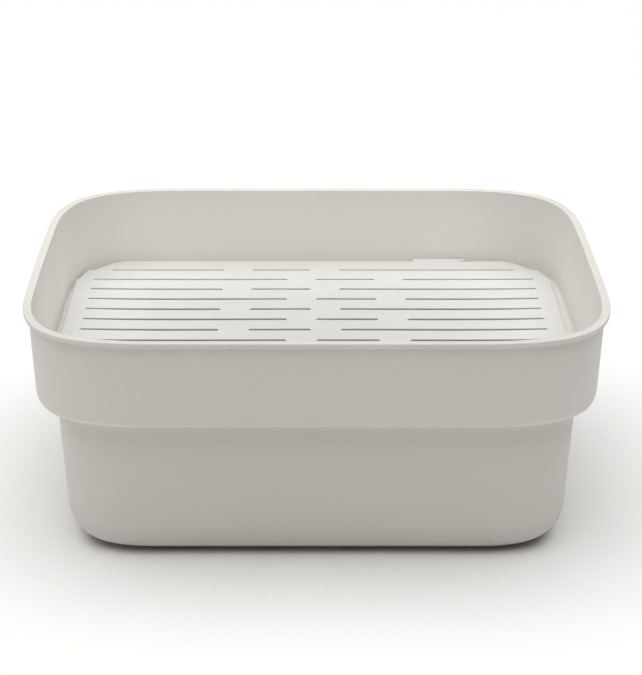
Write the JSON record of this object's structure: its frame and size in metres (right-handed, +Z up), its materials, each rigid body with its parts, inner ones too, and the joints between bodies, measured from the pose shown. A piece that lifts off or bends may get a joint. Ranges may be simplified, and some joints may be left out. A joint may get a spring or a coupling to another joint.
{
  "type": "rectangular tub with drain tray",
  "caption": "Rectangular plastic tub with a tall collar over a narrower rounded body; a slotted drain tray with a finger tab rests on its inner ledge and lifts out.",
  "frame": {"origin": "centre of the base, on the surface that the tub stands on", "axes": "+X along the long side to the right, +Y to the back, away from the viewer, +Z up"},
  "size_m": [0.3698, 0.32, 0.1544],
  "materials": {
    "tub_plastic": "fine matte moulded finish, light warm grey",
    "tray_plastic": "fine matte moulded finish, off-white",
    "pad_rubber": "soft matte grey"
  },
  "bodies": {
    "tub": {"tub": "tub_plastic", "foot_pad_front_left": "pad_rubber", "foot_pad_front_right": "pad_rubber", "foot_pad_back_left": "pad_rubber", "foot_pad_back_right": "pad_rubber"},
    "tray": {"drain_tray": "tray_plastic"}
  },
  "joints": [
    {"name": "tray_lift", "type": "slide", "parent": "tub", "child": "tray", "axis": [0, 0, 1], "range_m": [0, 0.08]}
  ]
}
